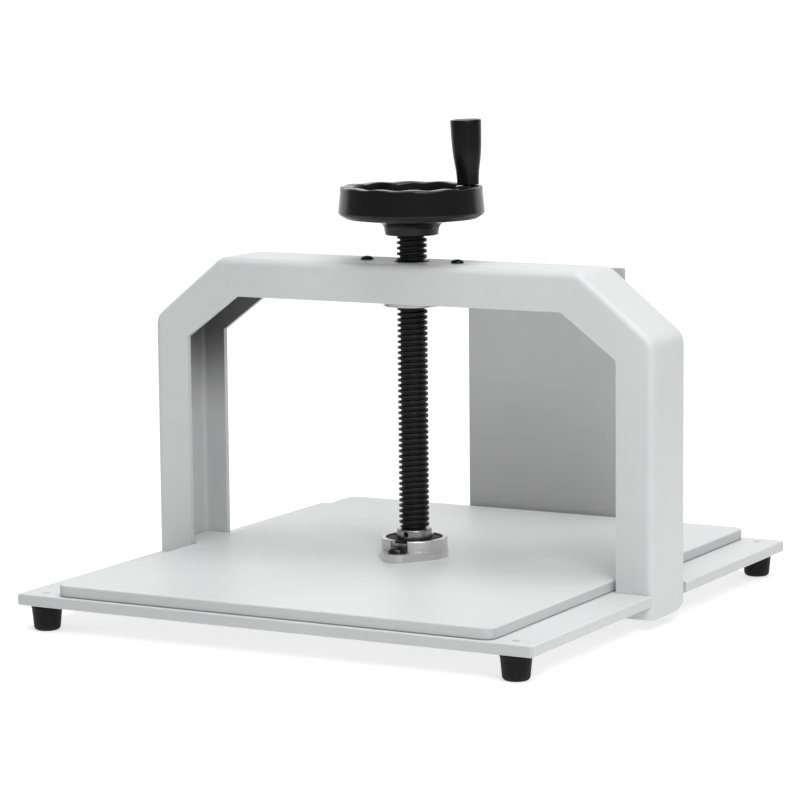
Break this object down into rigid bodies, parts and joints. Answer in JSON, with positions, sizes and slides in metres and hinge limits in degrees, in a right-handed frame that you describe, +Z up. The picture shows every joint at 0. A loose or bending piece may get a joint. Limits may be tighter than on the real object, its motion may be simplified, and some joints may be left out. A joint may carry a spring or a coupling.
{
  "type": "document flattening press",
  "caption": "Screw press with a gate frame of mitred channel: a handwheel lowers a guided flat plate onto a footed base to flatten paper.",
  "frame": {"origin": "on the floor under the middle of the whole press", "axes": "+Z up; -Y is the front; X runs along the gate's width; the back panel is at +Y"},
  "size_m": [0.407, 0.4352, 0.3519],
  "materials": {
    "light_grey_paint": "light grey powder coat, satin",
    "plate_paint": "light grey powder coat, satin, on the press plate and base",
    "panel_paint": "mid grey powder coat, satin",
    "bare_steel": "machined bare steel",
    "bearing_steel": "ground bearing steel",
    "blackened_steel": "black oxide, lightly oiled",
    "zinc_steel": "bright zinc plate",
    "bronze": "turned bronze",
    "foot_rubber": "matt black rubber",
    "black_phenolic": "polished black moulding"
  },
  "bodies": {
    "frame": {"base_plate": "plate_paint", "left_column": "light_grey_paint", "left_knee": "light_grey_paint", "top_beam": "light_grey_paint", "right_knee": "light_grey_paint", "right_column": "light_grey_paint", "tie_bar": "light_grey_paint", "tie_screws": "zinc_steel", "foot_front_left": "foot_rubber", "foot_front_right": "foot_rubber", "foot_rear_left": "foot_rubber", "foot_rear_right": "foot_rubber", "foot_screws": "plate_paint", "foot_nuts": "zinc_steel", "back_panel": "panel_paint", "panel_screws": "zinc_steel", "nut_carrier": "bare_steel", "thread_nut": "bronze", "nut_screws": "blackened_steel"},
    "platen": {"press_plate": "plate_paint", "bearing_housing": "bare_steel", "housing_screws": "blackened_steel", "dust_seal": "foot_rubber", "bearing_outer_ring": "bearing_steel", "bearing_balls": "bearing_steel"},
    "screw": {"bearing_inner_ring": "bearing_steel", "lead_screw": "blackened_steel", "journal_collar": "bare_steel", "collar_grub_screw": "blackened_steel", "journal_circlip": "blackened_steel", "handwheel": "black_phenolic", "hub_insert": "bare_steel", "wheel_key": "bare_steel", "wheel_washer": "zinc_steel", "wheel_screw": "zinc_steel", "handle_spindle": "zinc_steel"},
    "grip": {"handle_grip": "black_phenolic", "grip_cap": "black_phenolic"}
  },
  "joints": [
    {"name": "platen_slide", "type": "slide", "parent": "frame", "child": "platen", "axis": [0, 0, 1], "range_m": [0, 0.15]},
    {"name": "screw_turn", "type": "hinge", "parent": "platen", "child": "screw", "pos_m": [0, -0.0026, 0.1], "axis": [0, 0, 1], "range_deg": [0, 13510]},
    {"name": "handle_spin", "type": "hinge", "parent": "screw", "child": "grip", "pos_m": [0.03551, 0.0179, 0.3045], "axis": [-0.0287, -0.0166, 0.9995], "continuous": true}
  ],
  "couplings": [
    {"joint": "screw_turn", "follows": "platen_slide", "rad_per_m": 1570.8}
  ]
}
